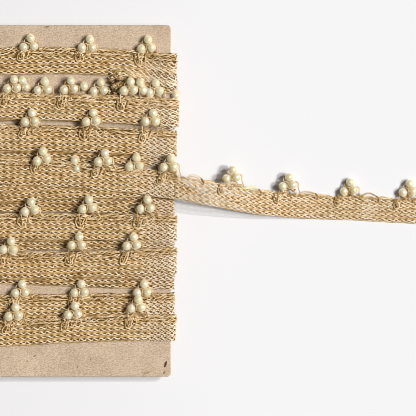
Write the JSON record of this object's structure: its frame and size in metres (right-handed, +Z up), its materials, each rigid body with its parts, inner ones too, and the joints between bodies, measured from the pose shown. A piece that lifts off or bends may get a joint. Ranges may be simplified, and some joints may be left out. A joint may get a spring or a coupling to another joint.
{
  "type": "card-wound lace trim",
  "caption": "Flat greyboard card wound with knitted metallic trim edged in pearl clusters, with its loose end laid out beside it.",
  "frame": {"origin": "on the surface, below the middle of the whole thing", "axes": "+X from the card towards the end of the loose trim, +Y up the card, from its bare foot to the end where the winding starts, +Z up from the surface it lies on"},
  "size_m": [0.243, 0.1634, 0.0147],
  "materials": {
    "board": "matt unprinted greyboard",
    "trim": "knitted metallic gold-beige yarn with ivory pearls"
  },
  "bodies": {
    "root": {"card": "board", "wound_trim": "trim", "loose_end": "trim"}
  },
  "joints": []
}
